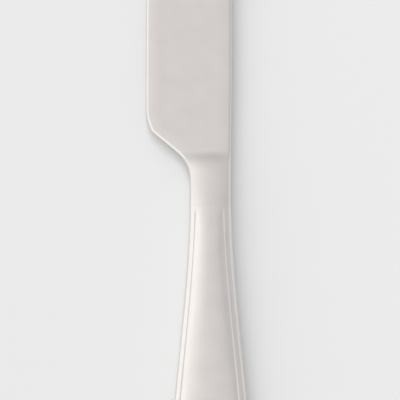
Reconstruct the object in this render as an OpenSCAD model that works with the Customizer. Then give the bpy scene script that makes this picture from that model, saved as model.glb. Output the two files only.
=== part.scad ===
// Butter knife with a hollow handle.
// A forged blade with bolster, spigot and notched tang, two stamped half shells,
// the braze in the seam between the shells, and the cement inside them.
// Millimetres. The knife lies flat: +Y runs from handle to tip, +Z is up, the cutting edge faces -X.
// The origin is the centre of the knife's box, on the surface that the knife lies on.

/* [Blade] */
// Length of the blade from the crease at the bolster to the tip
blade_len = 75; // [62:1:90]
// Width of the blade from the cutting edge to the spine
blade_w = 20.4; // [17:0.1:24]
// Thickness of the blade between its two flats
blade_t = 1.7; // [1.3:0.1:2.4]
// Width of the rounding along the edges of the blade, seen from above
edge_round = 0.9; // [0.5:0.05:1.2]
// Width of the soft shoulder between the rounding and the flat
shoulder_w = 2.5; // [1.5:0.1:3]
// How far each face falls across the shoulder
shoulder_drop = 0.13; // [0.05:0.01:0.3]
// Distance of the spine from the axis of the handle
spine_x = 5.05; // [4.7:0.05:6]
// Length over which the spine runs from the neck out to its full distance
spine_run = 25; // [15:1:35]
// Length of the sweep of the cutting edge up to the tip
tip_sweep = 42; // [30:1:50]
// Length of the rounding of the spine down to the tip
tip_round = 10; // [6:1:16]

/* [Heel] */
// Height above the crease at which the heel leaves the cutting edge
heel_rise = 12.4; // [10:0.1:16]
// Radius of the long round that leads from the cutting edge into the heel
heel_lead_r = 13; // [8:0.5:18]
// Angle off the cutting edge at which that round ends, in degrees
heel_lead_turn = 25; // [10:1:35]
// Radius of the corner between that round and the slope of the heel
heel_corner_r = 2; // [1:0.5:6]
// Radius of the hollow that runs from the slope into the neck
heel_hollow_r = 9.4; // [6:0.2:11]
// Angle between the cutting edge and the slope of the heel, in degrees
heel_turn = 49.5; // [42:0.5:58]

/* [Bolster] */
// Length of the bolster from the crease to the mouth of the handle
bolster_len = 12.2; // [11:0.1:18]
// Width of the neck
neck_w = 9.75; // [8.5:0.05:10]
// Thickness of the neck
neck_t = 5.3; // [4.6:0.1:6.5]
// Height above the crease at which the ramp from the blade up to the neck starts
ramp_start = 1.6; // [0:0.1:3]
// Length of the ramp
ramp_len = 5.6; // [4:0.2:9]
// Steepness of the ramp, 1 for a straight one
ramp_power = 2.8; // [1.6:0.1:3.5]
// Softness of the hollow foot of the ramp, 1 for a sharp crease
ramp_foot_power = 2.2; // [1:0.1:3]

/* [Handle] */
// Length of the handle from the crease to the end of the butt
handle_len = 95; // [80:1:125]
// Greatest width of the handle
butt_w = 20; // [16:0.1:26]
// Distance from the crease at which the handle starts to widen
flare_start = 8; // [6:0.5:12]
// Greatest thickness of the handle, at its belly
belly_t = 7.6; // [6.5:0.1:9]
// Distance of the belly from the crease
belly_at = 25; // [20:1:45]
// Distance from the crease at which the neck starts to thicken to the belly
swell_start = 3.5; // [2:0.5:10]
// Thickness of the handle where its end starts to round
butt_t = 6.4; // [4.8:0.1:7.4]
// Length of the rounded end of the butt
butt_round = 9.5; // [6:0.5:13]
// Thickness of the rim, over which the crown of the handle rises
rim_t = 3.4; // [2.6:0.1:4]
// Width of the rounding along the rim, seen from above
side_round = 0.6; // [0.4:0.05:1]
// Fullness of the crown at the neck, 2 for a plain round
neck_crown_power = 2; // [1.6:0.1:2.6]
// Fullness of the crown at the butt
butt_crown_power = 2.5; // [2:0.1:3.5]

/* [Thread border] */
// Distance of the bed of the thread from the outline of the handle
thread_inset = 1.78; // [1.4:0.02:2.2]
// Width of the bank between the rim and the bed
thread_bank = 0.4; // [0.3:0.05:0.8]
// Width over which the bed fades into the crown
thread_fade = 1.5; // [0.8:0.1:2]
// Depth of the bed
thread_depth = 0.14; // [0.08:0.01:0.3]
// Length over which the thread deepens from the mouth of the handle
thread_run_in = 2; // [1.5:0.5:8]

/* [Inside the handle] */
// Wall of the stamped half shells
shell_wall = 0.7; // [0.5:0.05:1]
// Thickness of the braze in the seam between the half shells
braze_t = 0.12; // [0.08:0.02:0.3]
// Length of the spigot that centres the shells on the bolster
spigot_len = 2.5; // [1.5:0.5:5]
// Clearance round the spigot
spigot_clear = 0.06; // [0.03:0.01:0.12]
// How far the spigot and the tang reach back into the bolster's metal
root_len = 3; // [2:0.5:5]
// Length of the tang from the mouth of the handle
tang_len = 58; // [40:1:62]
// Width of the tang at the mouth of the handle
tang_w = 5; // [4:0.1:5.4]
// Width of the tang at its end
tang_end_w = 3.4; // [2.4:0.1:3.8]
// Thickness of the tang
tang_t = 2.4; // [1.6:0.1:2.6]
// Number of notches for the cement on each side of the tang
notch_count = 3; // [1:1:5]
// Length of one notch
notch_len = 3; // [1.5:0.5:5]
// Depth of one notch
notch_depth = 0.6; // [0.2:0.1:0.9]

/* [Hidden] */

steel_colour = [0.78, 0.76, 0.74];
braze_colour = [0.72, 0.66, 0.52];
cement_colour = [0.62, 0.6, 0.56];

// Half of the seam, which is also the narrow land on the edges of the blade
seam = braze_t / 2;
edge_x = spine_x - blade_w;
edge_h = blade_t / 2 - shoulder_drop;

// Places along the blade, from the crease
sweep_y = blade_len - tip_sweep;
tip_y = blade_len - tip_round;
tip_angle = asin((tip_y - sweep_y) / tip_sweep);

// Places along the handle, from the crease
mouth_y = -bolster_len;
spigot_y = mouth_y - spigot_len;
butt_y = -(handle_len - butt_round);

// Steps along the outlines
neck_steps = 6;
hollow_steps = 12;
slope_steps = 3;
corner_steps = 4;
lead_steps = 4;
edge_steps = 5;
sweep_steps = 8;
tip_steps = 8;
belly_steps = 5;
side_steps = 15;
butt_steps = 9;

// Steps from the outline in to the axis, as shares of the widths that they divide
edge_shares = [0, 0.1, 0.35, 0.7, 1];
shoulder_shares = [0.12, 0.3, 0.6, 1];
flat_shares = [0.4];
rim_shares = [0, 0.03, 0.13, 0.3, 0.6, 1];
bank_shares = [0, 0.5, 1];
fade_shares = [0.3, 0.65, 1];
panel_shares = [0.3, 0.65];
blade_steps = len(edge_shares) + len(shoulder_shares) + len(flat_shares);
border_steps = len(rim_shares) + len(bank_shares) + len(fade_shares);
shell_steps = border_steps + len(panel_shares);

// Plain helpers
function mix(a, b, u) = a + (b - a) * u;
function within(u) = min(1, max(0, u));
function ease(u) = let (v = within(u)) v * v * (3 - 2 * v);
function reversed(list) = [for (k = [len(list) - 1 : -1 : 0]) list[k]];
function mirrored(points) = [for (p = points) [-p.x, p.y]];
function steps(count) = [for (k = [1 : count]) k / count];

// Height of a quarter round, and of a crown of a given fullness, at a share u of the way in
function rounding(u) = sqrt(1 - pow(1 - within(u), 2));
function crown(u, power) = 1 - pow(1 - within(u), power);

// The handle widens all the way to the butt; it thickens to the belly and thins again to the butt
function flare(y) = ease((-flare_start - y) / (-flare_start - butt_y));
function handle_half_w(y) = mix(neck_w, butt_w, flare(y)) / 2;
function handle_half_t(y) =
    let (swell = ease((-swell_start - y) / (belly_at - swell_start)))
    let (fall = ease((-belly_at - y) / (-belly_at - butt_y)))
    mix(mix(neck_t, belly_t, swell), butt_t, fall) / 2;

// Height of the handle's face, or of a skin at a depth under it: rounded rim, and a crown that rises over it
function handle_section(y, inset, share, depth) =
    let (fullness = mix(neck_crown_power, butt_crown_power, flare(y)))
    mix(seam, rim_t / 2 - depth, rounding(inset / side_round))
    + (handle_half_t(y) - rim_t / 2) * crown(share, fullness);

// A round of the heel starts at a point and turns from one angle off the cutting edge to another
function round_at(start, radius, first, angle) = [
    start.x + radius * (cos(first) - cos(angle)),
    start.y - radius * (sin(angle) - sin(first))
];
function lead_at(angle) = round_at([edge_x, heel_rise], heel_lead_r, 0, angle);
function corner_at(angle) =
    round_at(lead_at(heel_lead_turn), heel_corner_r, heel_lead_turn, angle);

// The slope runs straight from the corner to the hollow, and the hollow ends at the side of the neck
slope_high = corner_at(heel_turn);
slope_low_x = -neck_w / 2 - heel_hollow_r * (1 - cos(heel_turn));
slope_low_y = slope_high.y - (slope_low_x - slope_high.x) / tan(heel_turn);
hollow_end_y = slope_low_y - heel_hollow_r * sin(heel_turn);

// Outline of the cutting-edge side, from the mouth of the handle to the middle of the tip
function neck_side() =
    [for (u = concat([0], steps(neck_steps)))
        let (y = mix(mouth_y, hollow_end_y, u))
        [-handle_half_w(y), y]];
function hollow_side() =
    [for (u = steps(hollow_steps)) [
        -neck_w / 2 - heel_hollow_r * (1 - cos(heel_turn * u)),
        hollow_end_y + heel_hollow_r * sin(heel_turn * u)
    ]];
function slope_side() =
    [for (u = steps(slope_steps)) mix([slope_low_x, slope_low_y], slope_high, u)];
function corner_side() = [for (u = steps(corner_steps)) corner_at(mix(heel_turn, heel_lead_turn, u))];
function lead_side() = [for (u = steps(lead_steps)) lead_at(heel_lead_turn * (1 - u))];
function edge_side() = [for (u = steps(edge_steps)) [edge_x, mix(heel_rise, sweep_y, u)]];
function sweep_at(angle) = [edge_x * cos(angle), sweep_y + tip_sweep * sin(angle)];
function sweep_side() = [for (u = steps(sweep_steps)) sweep_at(tip_angle * u)];
function tip_side() = [for (u = steps(tip_steps)) sweep_at(mix(tip_angle, 90, u))];

// Outline of the spine side at a given place, and its rounding to the tip
function spine_at(y) = y < 0 ? handle_half_w(y) : mix(neck_w / 2, spine_x, ease(y / spine_run));
function spine_tip(angle) = [spine_at(tip_y) * cos(angle), tip_y + tip_round * sin(angle)];

blade_level = concat(
    neck_side(), hollow_side(), slope_side(), corner_side(), lead_side(), edge_side(), sweep_side()
);
blade_focus = len(blade_level) - 1;
blade_left = concat(blade_level, tip_side());
blade_right = concat(
    [for (p = blade_level) [spine_at(p.y), p.y]],
    [for (u = steps(tip_steps)) spine_tip(90 * u)]
);

// Outline of one side of the handle, from its mouth to the middle of the butt
handle_level = concat(
    [mouth_y, spigot_y],
    [for (u = steps(belly_steps)) mix(spigot_y, -belly_at, u)],
    [for (u = steps(side_steps)) mix(-belly_at, butt_y, u)]
);
handle_focus = len(handle_level) - 1;
handle_right = concat(
    [for (y = handle_level) [handle_half_w(y), y]],
    [for (u = steps(butt_steps)) [butt_w / 2 * cos(90 * u), butt_y - butt_round * sin(90 * u)]]
);

// A ray runs level from a point of the outline to the axis.
// Round the tip and round the butt the rays meet in one point of the axis.
function ray_start(ray) = ray[0];
function ray_way(ray) = ray[1];
function ray_len(ray) = ray[2];
// Length along the ray for each unit of inset square to the outline
function ray_stretch(ray) = ray[3];
function make_ray(before, here, after, axis_y) =
    let (along = (after - before) / norm(after - before))
    let (inward = [0, axis_y] - here)
    let (way = inward / norm(inward))
    [here, way, norm(inward), 1 / abs(cross(along, way))];
function make_rays(there, back, focus) =
    let (outline = concat(there, [for (k = [len(back) - 2 : -1 : 0]) back[k]]))
    let (last = len(outline) - 1)
    [for (i = [0 : last])
        make_ray(
            outline[max(0, i - 1)], outline[i], outline[min(last, i + 1)],
            there[min(i, last - i, focus)].y
        )];

blade_rays = make_rays(blade_left, blade_right, blade_focus);
handle_rays = make_rays(handle_right, mirrored(handle_right), handle_focus);

// Height of the blade's face at an inset from the outline: rounded edge, soft shoulder, flat
function face_h(inset) =
    mix(seam, edge_h, rounding(inset / edge_round))
    + shoulder_drop * crown((inset - edge_round) / shoulder_w, 2);

// Share of the way from the blade's face up to the section of the neck: hollow foot, long rounded top
function ramp(y) = pow(crown((ramp_start - y) / ramp_len, ramp_power), ramp_foot_power);

// Forging: distance along a ray, and height, of each step
function blade_reach(ray, step) =
    let (shoulder_at = step - len(edge_shares))
    let (flat_at = shoulder_at - len(shoulder_shares))
    let (border = (edge_round + shoulder_w) * ray_stretch(ray))
    shoulder_at < 0 ? edge_round * edge_shares[step] * ray_stretch(ray)
    : flat_at < 0 ? (edge_round + shoulder_w * shoulder_shares[shoulder_at]) * ray_stretch(ray)
    : flat_at < len(flat_shares) ? mix(border, ray_len(ray), flat_shares[flat_at])
    : ray_len(ray);
function blade_rise(ray, step) =
    let (reach = blade_reach(ray, step))
    let (inset = reach / ray_stretch(ray))
    let (y = ray_start(ray).y)
    mix(face_h(inset), handle_section(y, inset, reach / ray_len(ray), 0), ramp(y));

// Half shell: inset of each step of the border, across the rim, the bank and the fading bed of the thread
function border_inset(step) =
    let (bank_at = step - len(rim_shares))
    let (fade_at = bank_at - len(bank_shares))
    bank_at < 0 ? side_round * rim_shares[step]
    : fade_at < 0 ? thread_inset - thread_bank * (1 - bank_shares[bank_at])
    : thread_inset + thread_fade * fade_shares[fade_at];
function shell_reach(ray, step) =
    let (panel_at = step - border_steps)
    let (border = border_inset(border_steps - 1) * ray_stretch(ray))
    panel_at < 0 ? border_inset(step) * ray_stretch(ray)
    : panel_at < len(panel_shares) ? mix(border, ray_len(ray), panel_shares[panel_at])
    : ray_len(ray);

// Depth of the thread at a step; it starts from nothing at the mouth
function thread(ray, step) =
    let (off = shell_reach(ray, step) / ray_stretch(ray) - thread_inset)
    let (bank = ease(1 + off / thread_bank))
    let (fade = 1 - within(off / thread_fade))
    let (run_in = ease((mouth_y - ray_start(ray).y) / thread_run_in))
    thread_depth * run_in * bank * pow(fade, 2);

// Skin of the shell at a depth under its outside, measured in from the outline and down from the top alike
function skin_reach(ray, step, depth) =
    let (start = depth * ray_stretch(ray))
    mix(start, ray_len(ray), shell_reach(ray, step) / ray_len(ray));
function skin_rise(ray, step, depth) =
    let (reach = shell_reach(ray, step))
    let (y = max(butt_y, ray_start(ray).y))
    handle_section(y, reach / ray_stretch(ray), reach / ray_len(ray), depth) - thread(ray, step);

// Number of a point in a skin: the rays' points first, then the points that they share on the axis
function point_at(i, step, last, focus, count) =
    step < count ? i * count + step : (last + 1) * count + min(i, last - i, focus);

// Points of a skin over the rays, from functions of ray and step
function skin_points(rays, focus, count, reach, rise) = concat(
    [for (ray = rays) for (step = [0 : count - 1])
        let (p = ray_start(ray) + ray_way(ray) * reach(ray, step))
        [p.x, p.y, rise(ray, step)]],
    [for (i = [0 : focus])
        let (p = ray_start(rays[i]) + ray_way(rays[i]) * ray_len(rays[i]))
        [0, p.y, rise(rays[i], count)]]
);
function skin_faces(last, focus, count) =
    [for (i = [0 : last - 1]) for (step = [0 : count - 1])
        let (a = point_at(i, step, last, focus, count))
        let (b = point_at(i + 1, step, last, focus, count))
        let (c = point_at(i + 1, step + 1, last, focus, count))
        let (d = point_at(i, step + 1, last, focus, count))
        each c == d ? [[a, b, c]] : [[a, b, c], [a, c, d]]];

// Rows of points along the outline of a skin and across its open end
function outline_row(last, focus, count) = [for (i = [0 : last]) point_at(i, 0, last, focus, count)];
function mouth_row(last, focus, count) = concat(
    [for (step = [0 : count]) point_at(0, step, last, focus, count)],
    [for (step = [count - 1 : -1 : 0]) point_at(last, step, last, focus, count)]
);
function moved(row, by) = [for (v = row) v + by];
function band(upper, lower) =
    [for (k = [0 : len(upper) - 2])
        each [[upper[k + 1], upper[k], lower[k]], [upper[k + 1], lower[k], lower[k + 1]]]];

// Solid between a skin and its mirror image under it, with a flat end at the mouth
module lens(rays, focus, count, reach, rise) {
    last = len(rays) - 1;
    upper = skin_points(rays, focus, count, reach, rise);
    lower = [for (p = upper) [p.x, p.y, -p.z]];
    by = len(upper);
    faces = skin_faces(last, focus, count);
    rim = outline_row(last, focus, count);
    mouth = mouth_row(last, focus, count);
    polyhedron(
        concat(upper, lower),
        concat(
            faces,
            [for (face = faces) reversed(moved(face, by))],
            band(rim, moved(rim, by)),
            [concat(mouth, reversed(moved(mouth, by)))]
        )
    );
}

// Half of the handle, open at the mouth and at the seam
module half_shell() {
    last = len(handle_rays) - 1;
    outer = skin_points(
        handle_rays, handle_focus, shell_steps,
        function(ray, step) skin_reach(ray, step, 0),
        function(ray, step) skin_rise(ray, step, 0)
    );
    inner = skin_points(
        handle_rays, handle_focus, shell_steps,
        function(ray, step) skin_reach(ray, step, shell_wall),
        function(ray, step) skin_rise(ray, step, shell_wall)
    );
    by = len(outer);
    faces = skin_faces(last, handle_focus, shell_steps);
    rim = outline_row(last, handle_focus, shell_steps);
    mouth = mouth_row(last, handle_focus, shell_steps);
    polyhedron(
        concat(outer, inner),
        concat(
            faces,
            [for (face = faces) reversed(moved(face, by))],
            band(rim, moved(rim, by)),
            [for (face = band(mouth, moved(mouth, by))) reversed(face)]
        )
    );
}

// Spigot on the bolster: the section of the shells' mouth, less the clearance.
// It also clears the thread, which stands proud inside the shells where the spigot ends.
module spigot() {
    mouth_ray = handle_rays[0];
    end_ray = handle_rays[1];
    depth = shell_wall + spigot_clear;
    quarter = [for (step = [0 : shell_steps]) [
        ray_start(mouth_ray).x - skin_reach(mouth_ray, step, depth),
        skin_rise(mouth_ray, step, depth) - thread(end_ray, step)
    ]];
    upper = concat(quarter, reversed(mirrored([for (step = [0 : shell_steps - 1]) quarter[step]])));
    lower = [for (p = reversed(upper)) [p.x, -p.y]];
    translate([0, mouth_y + root_len, 0])
        rotate([90, 0, 0])
            linear_extrude(height = root_len + spigot_len)
                polygon(concat(upper, lower));
}

// Flat tang that narrows to its end, with notches along both sides
function tang_half_w(y) = mix(tang_w, tang_end_w, (mouth_y - y) / tang_len) / 2;
module tang() {
    pitch = tang_len / (notch_count + 1);
    notches = [for (k = [1 : notch_count])
        let (top = mouth_y - pitch * k + notch_len / 2)
        let (low = top - notch_len)
        each [
            [tang_half_w(top), top],
            [tang_half_w(top) - notch_depth, top],
            [tang_half_w(low) - notch_depth, low],
            [tang_half_w(low), low]
        ]];
    root_y = mouth_y + root_len;
    end_y = mouth_y - tang_len;
    side = concat([[tang_half_w(root_y), root_y]], notches, [[tang_half_w(end_y), end_y]]);
    linear_extrude(height = tang_t, center = true)
        polygon(concat(side, reversed(mirrored(side))));
}

// From the knife's own axis and crease to the frame of the whole part
module placed() {
    translate([
        -(edge_x + max(spine_x, butt_w / 2)) / 2,
        (handle_len - blade_len) / 2,
        max(belly_t, neck_t, butt_t) / 2
    ])
        children();
}

module blade() {
    color(steel_colour)
        placed()
            union() {
                lens(
                    blade_rays, blade_focus, blade_steps,
                    function(ray, step) blade_reach(ray, step),
                    function(ray, step) blade_rise(ray, step)
                );
                spigot();
                tang();
            }
}

module handle_front_shell() {
    color(steel_colour)
        placed()
            half_shell();
}

module handle_back_shell() {
    color(steel_colour)
        placed()
            mirror([0, 0, 1])
                half_shell();
}

module seam_braze() {
    outside = [for (ray = handle_rays) ray_start(ray)];
    inside = [for (ray = handle_rays) ray_start(ray) + ray_way(ray) * shell_wall * ray_stretch(ray)];
    color(braze_colour)
        placed()
            linear_extrude(height = braze_t, center = true)
                polygon(concat(outside, reversed(inside)));
}

// The cement starts behind the spigot, on the second ray of each side
module handle_cement() {
    core_rays = [for (i = [1 : len(handle_rays) - 2]) handle_rays[i]];
    color(cement_colour)
        placed()
            difference() {
                lens(
                    core_rays, handle_focus - 1, shell_steps,
                    function(ray, step) skin_reach(ray, step, shell_wall),
                    function(ray, step) skin_rise(ray, step, shell_wall)
                );
                tang();
            }
}

blade();
handle_front_shell();
handle_back_shell();
seam_braze();
handle_cement();
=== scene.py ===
"""Butter knife with a hollow handle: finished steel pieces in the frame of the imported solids."""

import math

import bpy
import numpy as np
from mathutils import Euler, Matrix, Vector


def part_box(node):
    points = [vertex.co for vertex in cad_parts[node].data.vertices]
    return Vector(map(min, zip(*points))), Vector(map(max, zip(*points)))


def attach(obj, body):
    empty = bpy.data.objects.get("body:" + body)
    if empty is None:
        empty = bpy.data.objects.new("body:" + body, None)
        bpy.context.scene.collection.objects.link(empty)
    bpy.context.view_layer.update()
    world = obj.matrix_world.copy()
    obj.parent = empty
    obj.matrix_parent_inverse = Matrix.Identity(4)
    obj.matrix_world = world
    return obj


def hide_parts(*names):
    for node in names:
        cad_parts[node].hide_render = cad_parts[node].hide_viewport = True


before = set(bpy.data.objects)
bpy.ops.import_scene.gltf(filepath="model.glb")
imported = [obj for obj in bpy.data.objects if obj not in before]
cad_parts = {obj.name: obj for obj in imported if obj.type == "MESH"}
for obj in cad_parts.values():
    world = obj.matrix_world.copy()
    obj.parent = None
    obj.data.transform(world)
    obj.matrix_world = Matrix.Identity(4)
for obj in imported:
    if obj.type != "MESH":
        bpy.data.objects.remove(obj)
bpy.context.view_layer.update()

# Places in metres that the solids give
blade_low, blade_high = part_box("blade")
shell_low, shell_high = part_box("handle_front_shell")
back_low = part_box("handle_back_shell")[0]
AXIS_X = (shell_low.x + shell_high.x) / 2
MID_Z = (shell_high.z + back_low.z) / 2

# Bolster and neck
BOLSTER_LEN = 0.0122
NECK_W = 0.00975
NECK_T = 0.0053
RAMP_START = 0.0016
RAMP_LEN = 0.0056
RAMP_POWER = 2.8
RAMP_FOOT_POWER = 2.2
CREASE_Y = shell_high.y + BOLSTER_LEN

# Blade
BLADE_T = 0.0017
EDGE_ROUND = 0.0009
SHOULDER_W = 0.0025
SHOULDER_DROP = 0.00013
SHOULDER_POWER = 2
SPINE_RUN = 0.025
TIP_SWEEP = 0.042
TIP_ROUND = 0.010
EDGE_X = blade_low.x - AXIS_X
SPINE_X = blade_high.x - AXIS_X
BLADE_LEN = blade_high.y - CREASE_Y

# Heel
HEEL_RISE = 0.0124
HEEL_LEAD_R = 0.013
HEEL_LEAD_TURN = math.radians(25)
HEEL_CORNER_R = 0.002
HEEL_HOLLOW_R = 0.0094
HEEL_TURN = math.radians(49.5)

# Handle
BUTT_W = shell_high.x - shell_low.x
BELLY_T = shell_high.z - back_low.z
BELLY_AT = 0.025
SWELL_START = 0.0035
BUTT_T = 0.0064
BUTT_ROUND = 0.0095
RIM_T = 0.0034
SIDE_ROUND = 0.0006
NECK_CROWN_POWER = 2
BUTT_CROWN_POWER = 2.5
FLARE_START = 0.008
MOUTH_Y = -BOLSTER_LEN
BUTT_Y = shell_low.y - CREASE_Y + BUTT_ROUND
THREAD_INSET = 0.00178
THREAD_BANK = 0.0004
THREAD_FADE = 0.0015
THREAD_FADE_POWER = 2
THREAD_DEPTH = 0.00014
THREAD_RUN_IN = 0.002
SHELL_WALL = 0.0007
SEAM = 0.00006
JOINT_BREAK = 0.00002

# Spigot and tang
SPIGOT_LEN = 0.0025
SPIGOT_CLEAR = 0.00006
TANG_LEN = 0.058
TANG_W = 0.005
TANG_END_W = 0.0034
TANG_T = 0.0024
NOTCH_COUNT = 3
NOTCH_LEN = 0.003
NOTCH_DEPTH = 0.0006
NOTCH_DRAFT = 0.0001

# Steps of the meshes along the outline of the forging, and in from it
NECK_STEPS = 40
HOLLOW_STEPS = 48
SLOPE_STEPS = 16
CORNER_STEPS = 14
LEAD_STEPS = 24
EDGE_STEPS = 24
SWEEP_STEPS = 36
TIP_STEPS = 40
EDGE_ROUND_STEPS = 8
SHOULDER_STEPS = 12
FLAT_STEPS = 8

# Steps of the meshes along the outline of the handle, and in from it
HANDLE_STEPS = 130
BUTT_STEPS = 44
SIDE_ROUND_STEPS = 12
RIM_STEPS = 5
BANK_STEPS = 8
BED_STEPS = 10
PANEL_STEPS = 12

# Angle between faces above which an edge is shaded sharp
SHARP_ANGLE = math.radians(40)

# Finish of the steels: colours, length along each axis and height of the polishing grain in metres,
# clouds in a metre, and how far tone and roughness vary with them
BLADE_TONE = (0.778, 0.751, 0.731)
HANDLE_TONE = (0.793, 0.766, 0.745)
BLADE_GRAIN = (0.00025, 0.004, 0.00025)
HANDLE_GRAIN = (0.00025, 0.006, 0.00025)
GRAIN_HEIGHT = 0.00002
CLOUDS_PER_M = 260
TONE_SPREAD = 0.022
ROUGHNESS = (0.17, 0.25)

# Tones and tints of the tent from its left wall, -1, over the top to its right wall, 1,
# and its tones from the butt's end to the tip's
TENT_SIDES = (
    (-1, 1.08), (-0.93, 1.22), (-0.76, 1.19), (-0.6, 1.09), (-0.45, 0.985), (-0.3, 0.9), (-0.1, 0.823),
    (0.25, 0.77), (0.7, 0.645), (1, 0.7),
)
TENT_TINTS = (
    (-0.85, (1.004, 0.988, 0.98)), (-0.65, (0.998, 0.989, 0.968)), (-0.2, (1.01, 0.987, 0.982)),
    (0.45, (1.01, 0.987, 0.982)), (0.75, (1.003, 0.984, 0.996)), (1, (0.965, 0.985, 1.014)),
)
TENT_ENDS = ((-1, 1.07), (0.1, 1), (0.19, 0.985), (0.3, 1.01), (0.45, 0.98), (0.8, 0.9), (1, 0.78))

# Strength of the light that the tent throws on the table, from its left wall to its right wall
TENT_FILL = (
    (-1, 0.58), (-0.65, 0.79), (-0.5, 0.98), (-0.3, 1.13), (0, 1.23), (0.2, 0.38), (0.35, 0.28), (1, 0.4),
)


def mix(a, b, u):
    return a + (b - a) * u


def ease(u):
    v = np.clip(u, 0, 1)
    return v * v * (3 - 2 * v)


def rounding(u):
    """Height of a quarter round at a share u of the way in from its foot."""
    return np.sqrt(1 - (1 - np.clip(u, 0, 1)) ** 2)


def crown(u, power):
    """Height of a crown of a given fullness at a share u of the way in from its foot."""
    return 1 - (1 - np.clip(u, 0, 1)) ** power


def flare(y):
    """Share of the handle's widening at a place; most of it lies in the middle."""
    return ease((-FLARE_START - y) / (-FLARE_START - BUTT_Y))


def handle_half_w(y):
    return mix(NECK_W, BUTT_W, flare(y)) / 2


def handle_half_t(y):
    """Half thickness: it grows from the neck to the belly and falls off again to the butt."""
    swell = ease((-SWELL_START - y) / (BELLY_AT - SWELL_START))
    fall = ease((-BELLY_AT - y) / (-BELLY_AT - BUTT_Y))
    return mix(mix(NECK_T, BELLY_T, swell), BUTT_T, fall) / 2


def handle_section(y, inset, share, depth=0):
    """Height of the handle's face, or of a skin at a depth under it: rounded side, then crown."""
    side = mix(SEAM, RIM_T / 2 - depth, rounding(inset / SIDE_ROUND))
    fullness = mix(NECK_CROWN_POWER, BUTT_CROWN_POWER, flare(y))
    return side + (handle_half_t(y) - RIM_T / 2) * crown(share, fullness)


def thread(y, inset):
    """Depth of the thread border: a bank down from the rim to its bed, which fades into the crown."""
    off = inset - THREAD_INSET
    bank = ease(1 + off / THREAD_BANK)
    fade = 1 - np.clip(off / THREAD_FADE, 0, 1)
    return THREAD_DEPTH * ease((MOUTH_Y - y) / THREAD_RUN_IN) * bank * fade**THREAD_FADE_POWER


def steps(count):
    """Shares of the way after each of so many equal steps."""
    return np.linspace(0, 1, count + 1)[1:]


def round_steps(radius, count):
    """Insets of points at equal turns over a quarter round, from its foot."""
    return (1 - np.cos(np.linspace(0, math.pi / 2, count + 1))) * radius


class Rays:
    """Level lines from the points of an outline to the axis; those of a rounded end meet in one point."""

    def __init__(self, there, back, focus):
        outline = np.concatenate([there, back[-2::-1]])
        self.last = len(outline) - 1
        self.focus = focus
        number = np.arange(self.last + 1)
        self.axis = np.minimum(np.minimum(number, self.last - number), focus)
        target = np.stack([np.zeros(self.last + 1), there[self.axis, 1]], axis=1)
        along = np.gradient(outline, axis=0)
        along /= np.linalg.norm(along, axis=1, keepdims=True)
        inward = target - outline
        self.start = outline
        self.length = np.linalg.norm(inward, axis=1, keepdims=True)
        self.way = inward / self.length
        self.stretch = 1 / np.abs(along[:, :1] * self.way[:, 1:] - along[:, 1:] * self.way[:, :1])
        self.y = outline[:, 1:]

    def skin(self, reach, rise):
        """Points at each step of each ray, then the shared points on the axis; reach ends on the axis."""
        plan = self.start[:, None] + self.way[:, None] * reach[..., None]
        points = np.concatenate([plan, rise[..., None]], axis=2)
        axis = points[: self.focus + 1, -1]
        axis[:, 0] = 0
        return np.concatenate([points[:, :-1].reshape(-1, 3), axis])

    def numbers(self, count):
        """Number of each point of a skin with so many steps off the axis."""
        rows = np.arange(self.last + 1)[:, None] * count + np.arange(count)
        return np.column_stack([rows, (self.last + 1) * count + self.axis])

    def faces(self, count):
        grid = self.numbers(count)
        corners = [grid[:-1, :-1], grid[:-1, 1:], grid[1:, 1:], grid[1:, :-1]]
        quads = np.stack(corners, axis=2).reshape(-1, 4).tolist()
        return [list(dict.fromkeys(quad)) for quad in quads]

    def rim(self, count):
        return self.numbers(count)[:, 0].tolist()

    def mouth(self, count):
        grid = self.numbers(count)
        return grid[0].tolist() + grid[-1, -2::-1].tolist()


def flipped(faces, by):
    return [[v + by for v in reversed(face)] for face in faces]


def band(upper, lower):
    """Faces between two rows of points."""
    pairs = zip(upper[:-1], upper[1:], lower[1:], lower[:-1])
    return [list(face) for face in pairs]


def arc(start, radius, angle, end_angle, count):
    """Points of a round that turns from one angle off the cutting edge to another, away from the edge."""
    turn = mix(angle, end_angle, np.linspace(0, 1, count + 1))
    across = math.cos(angle) - np.cos(turn)
    down = np.sin(turn) - math.sin(angle)
    return np.array(start) + radius * np.column_stack([across, -down])


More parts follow.
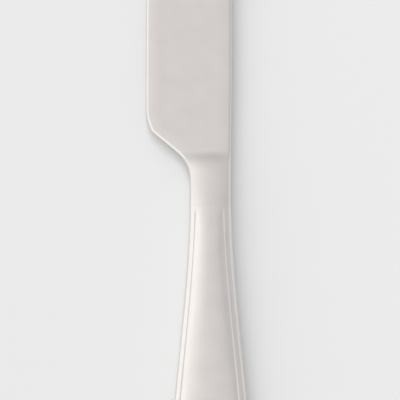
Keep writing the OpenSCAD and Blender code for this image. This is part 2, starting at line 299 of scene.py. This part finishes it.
def blade_rays():
    """Outline of the forging: neck, heel, cutting edge and sweep to the tip; opposite them the spine."""
    lead = arc([EDGE_X, HEEL_RISE], HEEL_LEAD_R, 0, HEEL_LEAD_TURN, LEAD_STEPS)
    corner = arc(lead[-1], HEEL_CORNER_R, HEEL_LEAD_TURN, HEEL_TURN, CORNER_STEPS)
    hollow_w = HEEL_HOLLOW_R * (1 - math.cos(HEEL_TURN))
    slope = -NECK_W / 2 - hollow_w - corner[-1, 0]
    hollow_high = corner[-1] + [slope, -slope / math.tan(HEEL_TURN)]
    hollow_end = hollow_high[1] - HEEL_HOLLOW_R * math.sin(HEEL_TURN)
    sweep_y = BLADE_LEN - TIP_SWEEP
    tip_y = BLADE_LEN - TIP_ROUND
    tip_angle = math.asin((tip_y - sweep_y) / TIP_SWEEP)

    neck_y = mix(MOUTH_Y, hollow_end, np.linspace(0, 1, NECK_STEPS + 1))
    hollow = HEEL_TURN * steps(HOLLOW_STEPS)
    edge_y = mix(HEEL_RISE, sweep_y, steps(EDGE_STEPS))
    sweep = tip_angle * steps(SWEEP_STEPS)
    tip = mix(tip_angle, math.pi / 2, steps(TIP_STEPS))
    level = np.concatenate([
        np.column_stack([-handle_half_w(neck_y), neck_y]),
        np.column_stack([
            -NECK_W / 2 - HEEL_HOLLOW_R * (1 - np.cos(hollow)),
            hollow_end + HEEL_HOLLOW_R * np.sin(hollow),
        ]),
        mix(hollow_high, corner[-1], steps(SLOPE_STEPS)[:, None]),
        corner[-2::-1],
        lead[-2::-1],
        np.column_stack([np.full(EDGE_STEPS, EDGE_X), edge_y]),
        np.column_stack([EDGE_X * np.cos(sweep), sweep_y + TIP_SWEEP * np.sin(sweep)]),
    ])
    left = np.concatenate([
        level,
        np.column_stack([EDGE_X * np.cos(tip), sweep_y + TIP_SWEEP * np.sin(tip)]),
    ])
    spine = np.where(
        level[:, 1] < 0,
        handle_half_w(level[:, 1]),
        mix(NECK_W / 2, SPINE_X, ease(level[:, 1] / SPINE_RUN)),
    )
    spine_tip = math.pi / 2 * steps(TIP_STEPS)
    right = np.concatenate([
        np.column_stack([spine, level[:, 1]]),
        np.column_stack([SPINE_X * np.cos(spine_tip), tip_y + TIP_ROUND * np.sin(spine_tip)]),
    ])
    return Rays(left, right, len(level) - 1)


def blade_face(inset):
    """Height of the blade's face at an inset from the outline: rounded edge, soft shoulder, flat."""
    edge = mix(SEAM, BLADE_T / 2 - SHOULDER_DROP, rounding(inset / EDGE_ROUND))
    return edge + SHOULDER_DROP * crown((inset - EDGE_ROUND) / SHOULDER_W, SHOULDER_POWER)


def ramp(y):
    """Share of the way from the blade's face up to the section of the neck: hollow foot, long rounded top."""
    return crown((RAMP_START - y) / RAMP_LEN, RAMP_POWER) ** RAMP_FOOT_POWER


def tang_rings(mouth):
    """Rings from the mouth of the handle down the spigot, which clears the thread, and the notched tang."""
    half_w = handle_half_w(MOUTH_Y)
    depth = SHELL_WALL + SPIGOT_CLEAR
    share = 1 - np.abs(mouth[:, 0]) / half_w
    inset = share * half_w
    rise = handle_section(MOUTH_Y, inset, share, depth) - thread(MOUTH_Y - SPIGOT_LEN, inset)
    spigot = mouth * [1 - depth / half_w, 1, 0]
    spigot[:, 2] = np.sign(mouth[:, 2]) * rise
    spigot_end = spigot - [0, SPIGOT_LEN, 0]

    def flat_ring(y, depth):
        half = mix(TANG_W, TANG_END_W, (MOUTH_Y - y) / TANG_LEN) / 2 - depth
        size = np.maximum(np.abs(mouth[:, 0]) / half, np.abs(mouth[:, 2]) / (TANG_T / 2))
        ring = mouth / size[:, None]
        ring[:, 1] = y
        return ring

    pitch = TANG_LEN / (NOTCH_COUNT + 1)
    rings = [spigot, spigot_end, flat_ring(MOUTH_Y - SPIGOT_LEN, 0)]
    for k in range(1, NOTCH_COUNT + 1):
        top = MOUTH_Y - pitch * k + NOTCH_LEN / 2
        low = top - NOTCH_LEN
        rings.append(flat_ring(top, 0))
        rings.append(flat_ring(top - NOTCH_DRAFT, NOTCH_DEPTH))
        rings.append(flat_ring(low + NOTCH_DRAFT, NOTCH_DEPTH))
        rings.append(flat_ring(low, 0))
    rings.append(flat_ring(MOUTH_Y - TANG_LEN, 0))
    return rings


def blade_forging():
    """One closed mesh of blade, bolster, spigot and tang."""
    rays = blade_rays()
    edge = round_steps(EDGE_ROUND, EDGE_ROUND_STEPS)
    shoulder = EDGE_ROUND + SHOULDER_W * steps(SHOULDER_STEPS)
    border = np.concatenate([edge, shoulder]) * rays.stretch
    inner = mix(border[:, -1:], rays.length, steps(FLAT_STEPS))
    reach = np.concatenate([border, inner], axis=1)
    inset = reach / rays.stretch
    neck = handle_section(rays.y, inset, reach / rays.length)
    rise = mix(blade_face(inset), neck, ramp(rays.y))
    rise[[0, -1]] -= JOINT_BREAK
    count = reach.shape[1] - 1

    upper = rays.skin(reach, rise)
    lower = upper * [1, 1, -1]
    faces = rays.faces(count)
    rim = rays.rim(count)
    by = len(upper)
    mouth = rays.mouth(count)
    ring = mouth + [v + by for v in reversed(mouth)]
    points = np.concatenate([upper, lower])
    faces += flipped(faces, by) + band(rim, [v + by for v in rim])
    for section in tang_rings(points[ring]):
        new_ring = list(range(len(points), len(points) + len(section)))
        points = np.concatenate([points, section])
        faces += band(new_ring + new_ring[:1], ring + ring[:1])
        ring = new_ring
    faces.append(ring[::-1])
    return points, faces


def handle_rays():
    """Outline of the handle from the mouth to the butt; the first step is the break at the joint."""
    below_joint = MOUTH_Y - JOINT_BREAK
    level = np.concatenate([[MOUTH_Y, below_joint], mix(below_joint, BUTT_Y, steps(HANDLE_STEPS))])
    butt = math.pi / 2 * steps(BUTT_STEPS)
    right = np.concatenate([
        np.column_stack([handle_half_w(level), level]),
        np.column_stack([BUTT_W / 2 * np.cos(butt), BUTT_Y - BUTT_ROUND * np.sin(butt)]),
    ])
    return Rays(right, right * [-1, 1], len(level) - 1)


def half_shell(side):
    """One stamped half of the handle, on the front (side 1) or the back (side -1)."""
    rays = handle_rays()
    bank_start = THREAD_INSET - THREAD_BANK
    border = np.concatenate([
        round_steps(SIDE_ROUND, SIDE_ROUND_STEPS),
        mix(SIDE_ROUND, bank_start, steps(RIM_STEPS)),
        mix(bank_start, THREAD_INSET, steps(BANK_STEPS)),
        mix(THREAD_INSET, THREAD_INSET + THREAD_FADE, steps(BED_STEPS)),
    ]) * rays.stretch
    panel = mix(border[:, -1:], rays.length, steps(PANEL_STEPS))
    reach = np.concatenate([border, panel], axis=1)
    share = reach / rays.length
    inset = reach / rays.stretch
    y = np.maximum(BUTT_Y, rays.y)
    groove = thread(rays.y, inset)
    count = reach.shape[1] - 1

    def skin(depth):
        rise = handle_section(y, inset, share, depth) - groove
        return rays.skin(mix(depth * rays.stretch, rays.length, share), rise)

    outer = skin(0)
    inner = skin(SHELL_WALL)
    by = len(outer)
    faces = rays.faces(count)
    edge = rays.rim(count)
    mouth = rays.mouth(count)
    points = np.concatenate([outer, inner])
    faces += flipped(faces, by)
    faces += band(edge, [v + by for v in edge])
    faces += band([v + by for v in mouth], mouth)
    if side < 0:
        points = points * [1, 1, -1]
        faces = flipped(faces, 0)
    return points, faces


def make_piece(name, points, faces, material, node, slot):
    """A mesh in the knife's own axes becomes a piece in the frame that stands for a node."""
    mesh = bpy.data.meshes.new(name)
    mesh.from_pydata((points + [AXIS_X, CREASE_Y, MID_Z]).tolist(), [], faces)
    mesh.validate()
    mesh.polygons.foreach_set("use_smooth", [True] * len(mesh.polygons))
    mesh.set_sharp_from_angle(angle=SHARP_ANGLE)
    mesh.materials.append(material)
    piece = bpy.data.objects.new(name, mesh)
    bpy.context.collection.objects.link(piece)
    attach(piece, "root")
    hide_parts(node)


class Nodes:
    """Short way to add and join shader nodes."""

    def __init__(self, tree):
        self.tree = tree

    def feed(self, socket, value):
        """Joins an output to a socket, or sets the socket to a constant."""
        if isinstance(value, bpy.types.NodeSocket):
            self.tree.links.new(value, socket)
        else:
            socket.default_value = value

    def add(self, kind, **inputs):
        made = self.tree.nodes.new(kind)
        for key, value in inputs.items():
            self.feed(made.inputs[key.replace("_", " ")], value)
        return made

    def math(self, operation, first, second, kind="ShaderNodeMath"):
        made = self.tree.nodes.new(kind)
        made.operation = operation
        self.feed(made.inputs[0], first)
        self.feed(made.inputs[1], second)
        return made.outputs[0]

    def noise(self, place, scale, detail, roughness=0.5):
        made = self.add("ShaderNodeTexNoise", Vector=place, Scale=scale, Detail=detail, Roughness=roughness)
        return made.outputs["Fac"]

    def ramp(self, share, stops):
        """Colour at a share, from stops that each hold a place and a colour or a grey tone."""
        made = self.add("ShaderNodeValToRGB", Fac=share)
        elements = made.color_ramp.elements
        for _ in stops[2:]:
            elements.new(0.5)
        for element, (place, tone) in zip(elements, stops):
            element.position = place
            element.color = [*np.broadcast_to(tone, 3), 1]
        return made.outputs["Color"]


def new_material(name):
    material = bpy.data.materials.new(name)
    material.use_nodes = True
    material.node_tree.nodes.clear()
    return material, Nodes(material.node_tree)


def steel(name, tone, grain):
    """Polished stainless steel with a faint grain and a slightly cloudy tone and gloss."""
    material, n = new_material(name)
    place = n.add("ShaderNodeTexCoord").outputs["Object"]
    stretched = n.add("ShaderNodeMapping", Vector=place, Scale=[1 / g for g in grain]).outputs[0]
    lines = n.noise(stretched, scale=1, detail=4, roughness=0.6)
    clouds = n.noise(place, scale=CLOUDS_PER_M, detail=3, roughness=0.55)
    dull = [c * (1 - TONE_SPREAD) for c in tone]
    bright = [c * (1 + TONE_SPREAD) for c in tone]
    colour = n.ramp(clouds, ((0.25, dull), (0.75, bright)))
    uneven = n.math("ADD", clouds, lines)
    smooth, rough = ROUGHNESS
    gloss = n.add("ShaderNodeMapRange", Value=uneven, From_Min=0.6, From_Max=1.4, To_Min=smooth, To_Max=rough)
    bump = n.add("ShaderNodeBump", Height=lines, Strength=0.08, Distance=GRAIN_HEIGHT)
    shader = n.add(
        "ShaderNodeBsdfPrincipled",
        Base_Color=colour, Metallic=1.0, Roughness=gloss.outputs["Result"], Normal=bump.outputs["Normal"],
    )
    n.add("ShaderNodeOutputMaterial", Surface=shader.outputs[0])
    return material


def braze_metal():
    """Dull yellowish filler metal, a little mottled."""
    material, n = new_material("braze_metal")
    place = n.add("ShaderNodeTexCoord").outputs["Object"]
    clouds = n.noise(place, scale=900, detail=3)
    colour = n.ramp(clouds, ((0, (0.62, 0.57, 0.47)), (1, (0.74, 0.69, 0.58))))
    gloss = n.add("ShaderNodeMapRange", Value=clouds, To_Min=0.3, To_Max=0.45)
    shader = n.add(
        "ShaderNodeBsdfPrincipled",
        Base_Color=colour, Metallic=1.0, Roughness=gloss.outputs["Result"],
    )
    n.add("ShaderNodeOutputMaterial", Surface=shader.outputs[0])
    return material


def set_cement():
    """Grey gritty cement."""
    material, n = new_material("set_cement")
    place = n.add("ShaderNodeTexCoord").outputs["Object"]
    grit = n.noise(place, scale=2500, detail=6)
    colour = n.ramp(grit, ((0, (0.42, 0.4, 0.37)), (1, (0.66, 0.64, 0.6))))
    bump = n.add("ShaderNodeBump", Height=grit, Strength=0.5, Distance=0.0001)
    shader = n.add(
        "ShaderNodeBsdfPrincipled",
        Base_Color=colour, Roughness=0.85, Normal=bump.outputs["Normal"],
    )
    n.add("ShaderNodeOutputMaterial", Surface=shader.outputs[0])
    return material


def dress(node, material):
    """Gives a node of the solids its finished material."""
    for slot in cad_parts[node].material_slots:
        slot.material = material


def make_floor():
    """Pale table with a hardly uneven tone."""
    dark = 0.825
    light = 0.835
    half = 4.0
    material, n = new_material("pale_floor")
    place = n.add("ShaderNodeTexCoord").outputs["Object"]
    clouds = n.noise(place, scale=4, detail=1)
    shader = n.add("ShaderNodeBsdfDiffuse", Color=n.ramp(clouds, ((0, dark), (1, light))))
    n.add("ShaderNodeOutputMaterial", Surface=shader.outputs[0])
    mesh = bpy.data.meshes.new("floor")
    corners = [(-half, -half, 0), (half, -half, 0), (half, half, 0), (-half, half, 0)]
    mesh.from_pydata(corners, [], [(0, 1, 2, 3)])
    mesh.materials.append(material)
    floor = bpy.data.objects.new("floor", mesh)
    bpy.context.collection.objects.link(floor)


def tent_ramp(n, way, tones):
    """Tone or tint of the tent along one axis of a direction, from -1 to 1."""
    share = n.add("ShaderNodeMapRange", Value=way, From_Min=-1, From_Max=1)
    return n.ramp(share.outputs["Result"], [((place + 1) / 2, tone) for place, tone in tones])


def make_world():
    """Soft white tent that camera and steel see; the table gets the tent's fill, also by way of the steel."""
    world = bpy.data.worlds.new("tent")
    bpy.context.scene.world = world
    world.use_nodes = True
    world.node_tree.nodes.clear()
    n = Nodes(world.node_tree)
    way = n.add("ShaderNodeTexCoord").outputs["Generated"]
    axes = n.add("ShaderNodeSeparateXYZ", Vector=way).outputs
    side = tent_ramp(n, axes["X"], TENT_SIDES)
    tint = tent_ramp(n, axes["X"], TENT_TINTS)
    end = tent_ramp(n, axes["Y"], TENT_ENDS)
    tinted = n.math("MULTIPLY", side, tint, "ShaderNodeVectorMath")
    wall = n.add("ShaderNodeBackground", Color=tinted, Strength=end)
    spread = tent_ramp(n, axes["X"], TENT_FILL)
    fill = n.add("ShaderNodeBackground", Color=(1, 1, 1, 1), Strength=spread)
    path = n.add("ShaderNodeLightPath").outputs
    mirrored = n.math("MAXIMUM", path["Is Glossy Ray"], path["Is Transmission Ray"])
    seen = n.math("MAXIMUM", path["Is Camera Ray"], mirrored)
    straight = n.math("LESS_THAN", path["Diffuse Depth"], 1)
    light = n.add("ShaderNodeMixShader", Fac=n.math("MULTIPLY", seen, straight))
    n.feed(light.inputs[1], fill.outputs[0])
    n.feed(light.inputs[2], wall.outputs[0])
    n.add("ShaderNodeOutputWorld", Surface=light.outputs[0])


def make_key_lamp():
    """Strip of soft light overhead, for the shadow on the table; the steel mirrors the tent alone."""
    strip_w = 0.12
    strip_len = 1.1
    watts = 4.6
    distance = 1.2
    to_spine = math.radians(7)
    to_tip = math.radians(9)
    turn = Euler((-to_tip, to_spine, 0))
    data = bpy.data.lights.new("key", "AREA")
    data.shape = "RECTANGLE"
    data.size = strip_w
    data.size_y = strip_len
    data.energy = watts
    lamp = bpy.data.objects.new("key", data)
    bpy.context.collection.objects.link(lamp)
    lamp.location = turn.to_matrix() @ Vector((0, 0, distance))
    lamp.rotation_euler = turn
    lamp.visible_glossy = False


def make_camera():
    """Camera over the middle of the knife, tipped a little towards the spine and the handle."""
    frame_w = 0.094
    lens = 400
    sensor = 36
    to_spine = math.radians(6.5)
    to_handle = math.radians(10)
    aim_to_edge = 0.0025
    aim_to_butt = 0.0001
    target = Vector((AXIS_X - aim_to_edge, -aim_to_butt, MID_Z))
    turn = Euler((to_handle, to_spine, 0))
    back = turn.to_matrix() @ Vector((0, 0, 1))
    data = bpy.data.cameras.new("camera")
    data.lens = lens
    data.sensor_width = sensor
    camera = bpy.data.objects.new("camera", data)
    bpy.context.collection.objects.link(camera)
    camera.location = target + back * (frame_w * lens / sensor)
    camera.rotation_euler = turn
    bpy.context.scene.camera = camera


blade_steel = steel("blade_steel", BLADE_TONE, BLADE_GRAIN)
handle_steel = steel("handle_steel", HANDLE_TONE, HANDLE_GRAIN)
make_piece("blade_forging", *blade_forging(), blade_steel, "blade", "blade_steel")
make_piece("front_shell", *half_shell(1), handle_steel, "handle_front_shell", "handle_steel")
make_piece("back_shell", *half_shell(-1), handle_steel, "handle_back_shell", "handle_steel")
dress("seam_braze", braze_metal())
dress("handle_cement", set_cement())

make_floor()
make_world()
make_key_lamp()
make_camera()
bpy.context.scene.view_settings.view_transform = "Standard"
